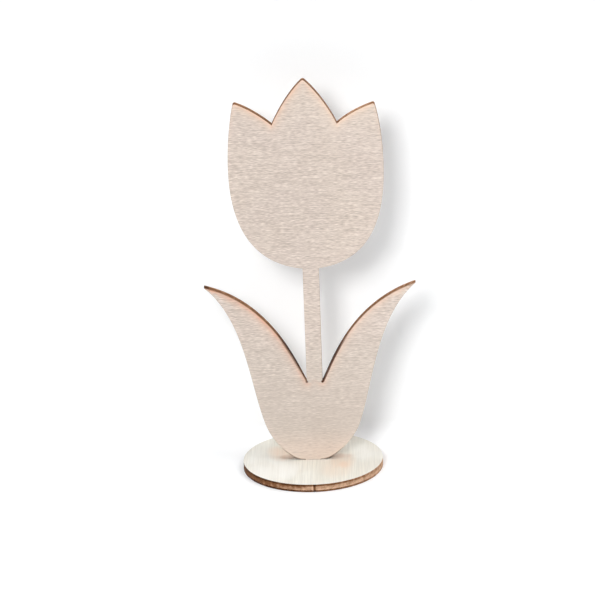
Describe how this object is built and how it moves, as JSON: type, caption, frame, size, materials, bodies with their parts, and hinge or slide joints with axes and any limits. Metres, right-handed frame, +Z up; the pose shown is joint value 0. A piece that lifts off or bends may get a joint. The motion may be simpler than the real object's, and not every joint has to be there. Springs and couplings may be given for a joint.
{
  "type": "tulip ornament",
  "caption": "Flat plywood tulip with a thin stem and curved leaves, standing upright by a tab in the slot of a round plywood base; a table ornament.",
  "frame": {"origin": "centre of the round base's underside, on the surface that the ornament stands on", "axes": "+Z up; the flat tulip lies along X, with +X to the right of someone who looks at its front; the front faces -Y"},
  "size_m": [0.0776, 0.052, 0.1504],
  "materials": {
    "tulip_face": "raw birch veneer, sanded, unvarnished, edges browned by the laser",
    "core": "raw core veneer, seen only as a browned cut edge",
    "base_face": "raw birch veneer, sanded, unvarnished, edges browned by the laser"
  },
  "bodies": {
    "base": {"base_top_veneer": "base_face", "base_core_veneer": "core", "base_bottom_veneer": "base_face"},
    "tulip": {"tulip_front_veneer": "tulip_face", "tulip_core_veneer": "core", "tulip_back_veneer": "tulip_face"}
  },
  "joints": [
    {"name": "tulip_lift", "type": "slide", "parent": "base", "child": "tulip", "axis": [0, 0, 1], "range_m": [0, 0.015]}
  ]
}
